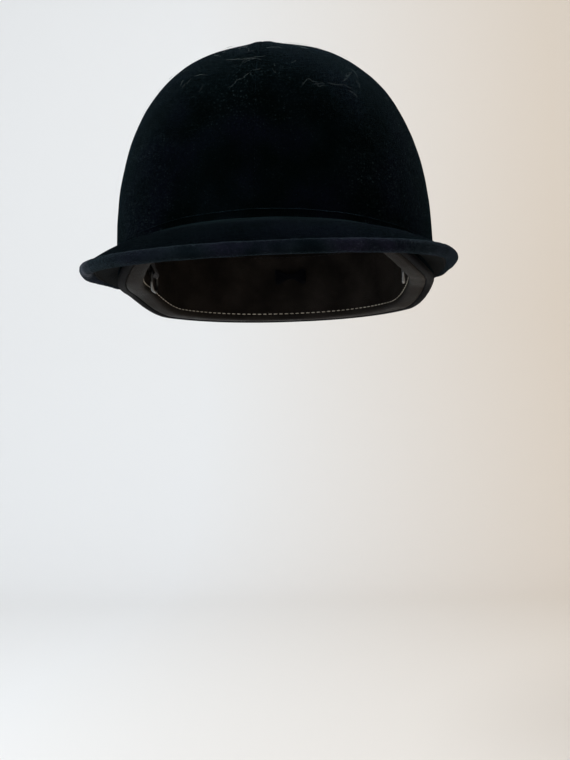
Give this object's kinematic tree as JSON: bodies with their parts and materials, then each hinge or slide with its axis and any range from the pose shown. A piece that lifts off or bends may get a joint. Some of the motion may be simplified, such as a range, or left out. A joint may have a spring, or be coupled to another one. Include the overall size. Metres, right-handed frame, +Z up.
{
  "type": "riding helmet",
  "caption": "Rounded velvet riding cap with a covered crown button, a short downturned peak with a rolled rim, a back bow, a leather sweatband and a satin lining.",
  "frame": {"origin": "middle of the cap's bounding box in plan, on the plane that its nape rim and the front of its peak stand on", "axes": "+Z up through the crown, -Y towards the front of the peak, +X towards the wearer's left"},
  "size_m": [0.2137, 0.2815, 0.1525],
  "materials": {
    "velvet": "deep black pile, matt",
    "laminate": "resin-bonded laminate, bare inside",
    "grosgrain": "ribbed ribbon, slight sheen",
    "foam": "soft foam, matt",
    "satin": "satin, soft sheen",
    "label_cloth": "plain woven label, blank",
    "sweatband_leather": "worn smooth leather",
    "peak_cloth": "close plain cloth, matt",
    "cord": "cotton cord",
    "tape": "woven cotton tape",
    "ring_steel": "plated wire"
  },
  "bodies": {
    "cap": {"shell": "laminate", "velvet_front_left": "velvet", "velvet_back_left": "velvet", "velvet_back_right": "velvet", "velvet_front_right": "velvet", "crown_button": "velvet", "edge_binding": "grosgrain", "base_band": "velvet", "forehead_pad": "foam", "temple_pad_left": "foam", "rear_side_pad_left": "foam", "nape_pad": "foam", "rear_side_pad_right": "foam", "temple_pad_right": "foam", "crown_pad": "foam", "crown_lining": "satin", "lining_label": "label_cloth", "sweatband": "sweatband_leather", "peak_top_velvet": "velvet", "peak_board": "laminate", "peak_underside_cloth": "peak_cloth", "peak_rim_roll": "velvet", "peak_rim_cord": "cord", "strap_tab_left": "tape", "strap_tab_right": "tape", "bow_loop_left": "grosgrain", "bow_loop_right": "grosgrain", "bow_tail_left": "grosgrain", "bow_tail_right": "grosgrain", "bow_knot": "grosgrain", "sweatband_bow": "grosgrain"},
    "ring_left": {"strap_ring_left": "ring_steel"},
    "ring_right": {"strap_ring_right": "ring_steel"}
  },
  "joints": [
    {"name": "ring_left_swing", "type": "hinge", "parent": "cap", "child": "ring_left", "pos_m": [0.0768, 0.02055, 0.0205], "axis": [0, 1, 0], "range_deg": [-6, 120]},
    {"name": "ring_right_swing", "type": "hinge", "parent": "cap", "child": "ring_right", "pos_m": [-0.0768, 0.02055, 0.0205], "axis": [0, -1, 0], "range_deg": [-6, 120]}
  ]
}
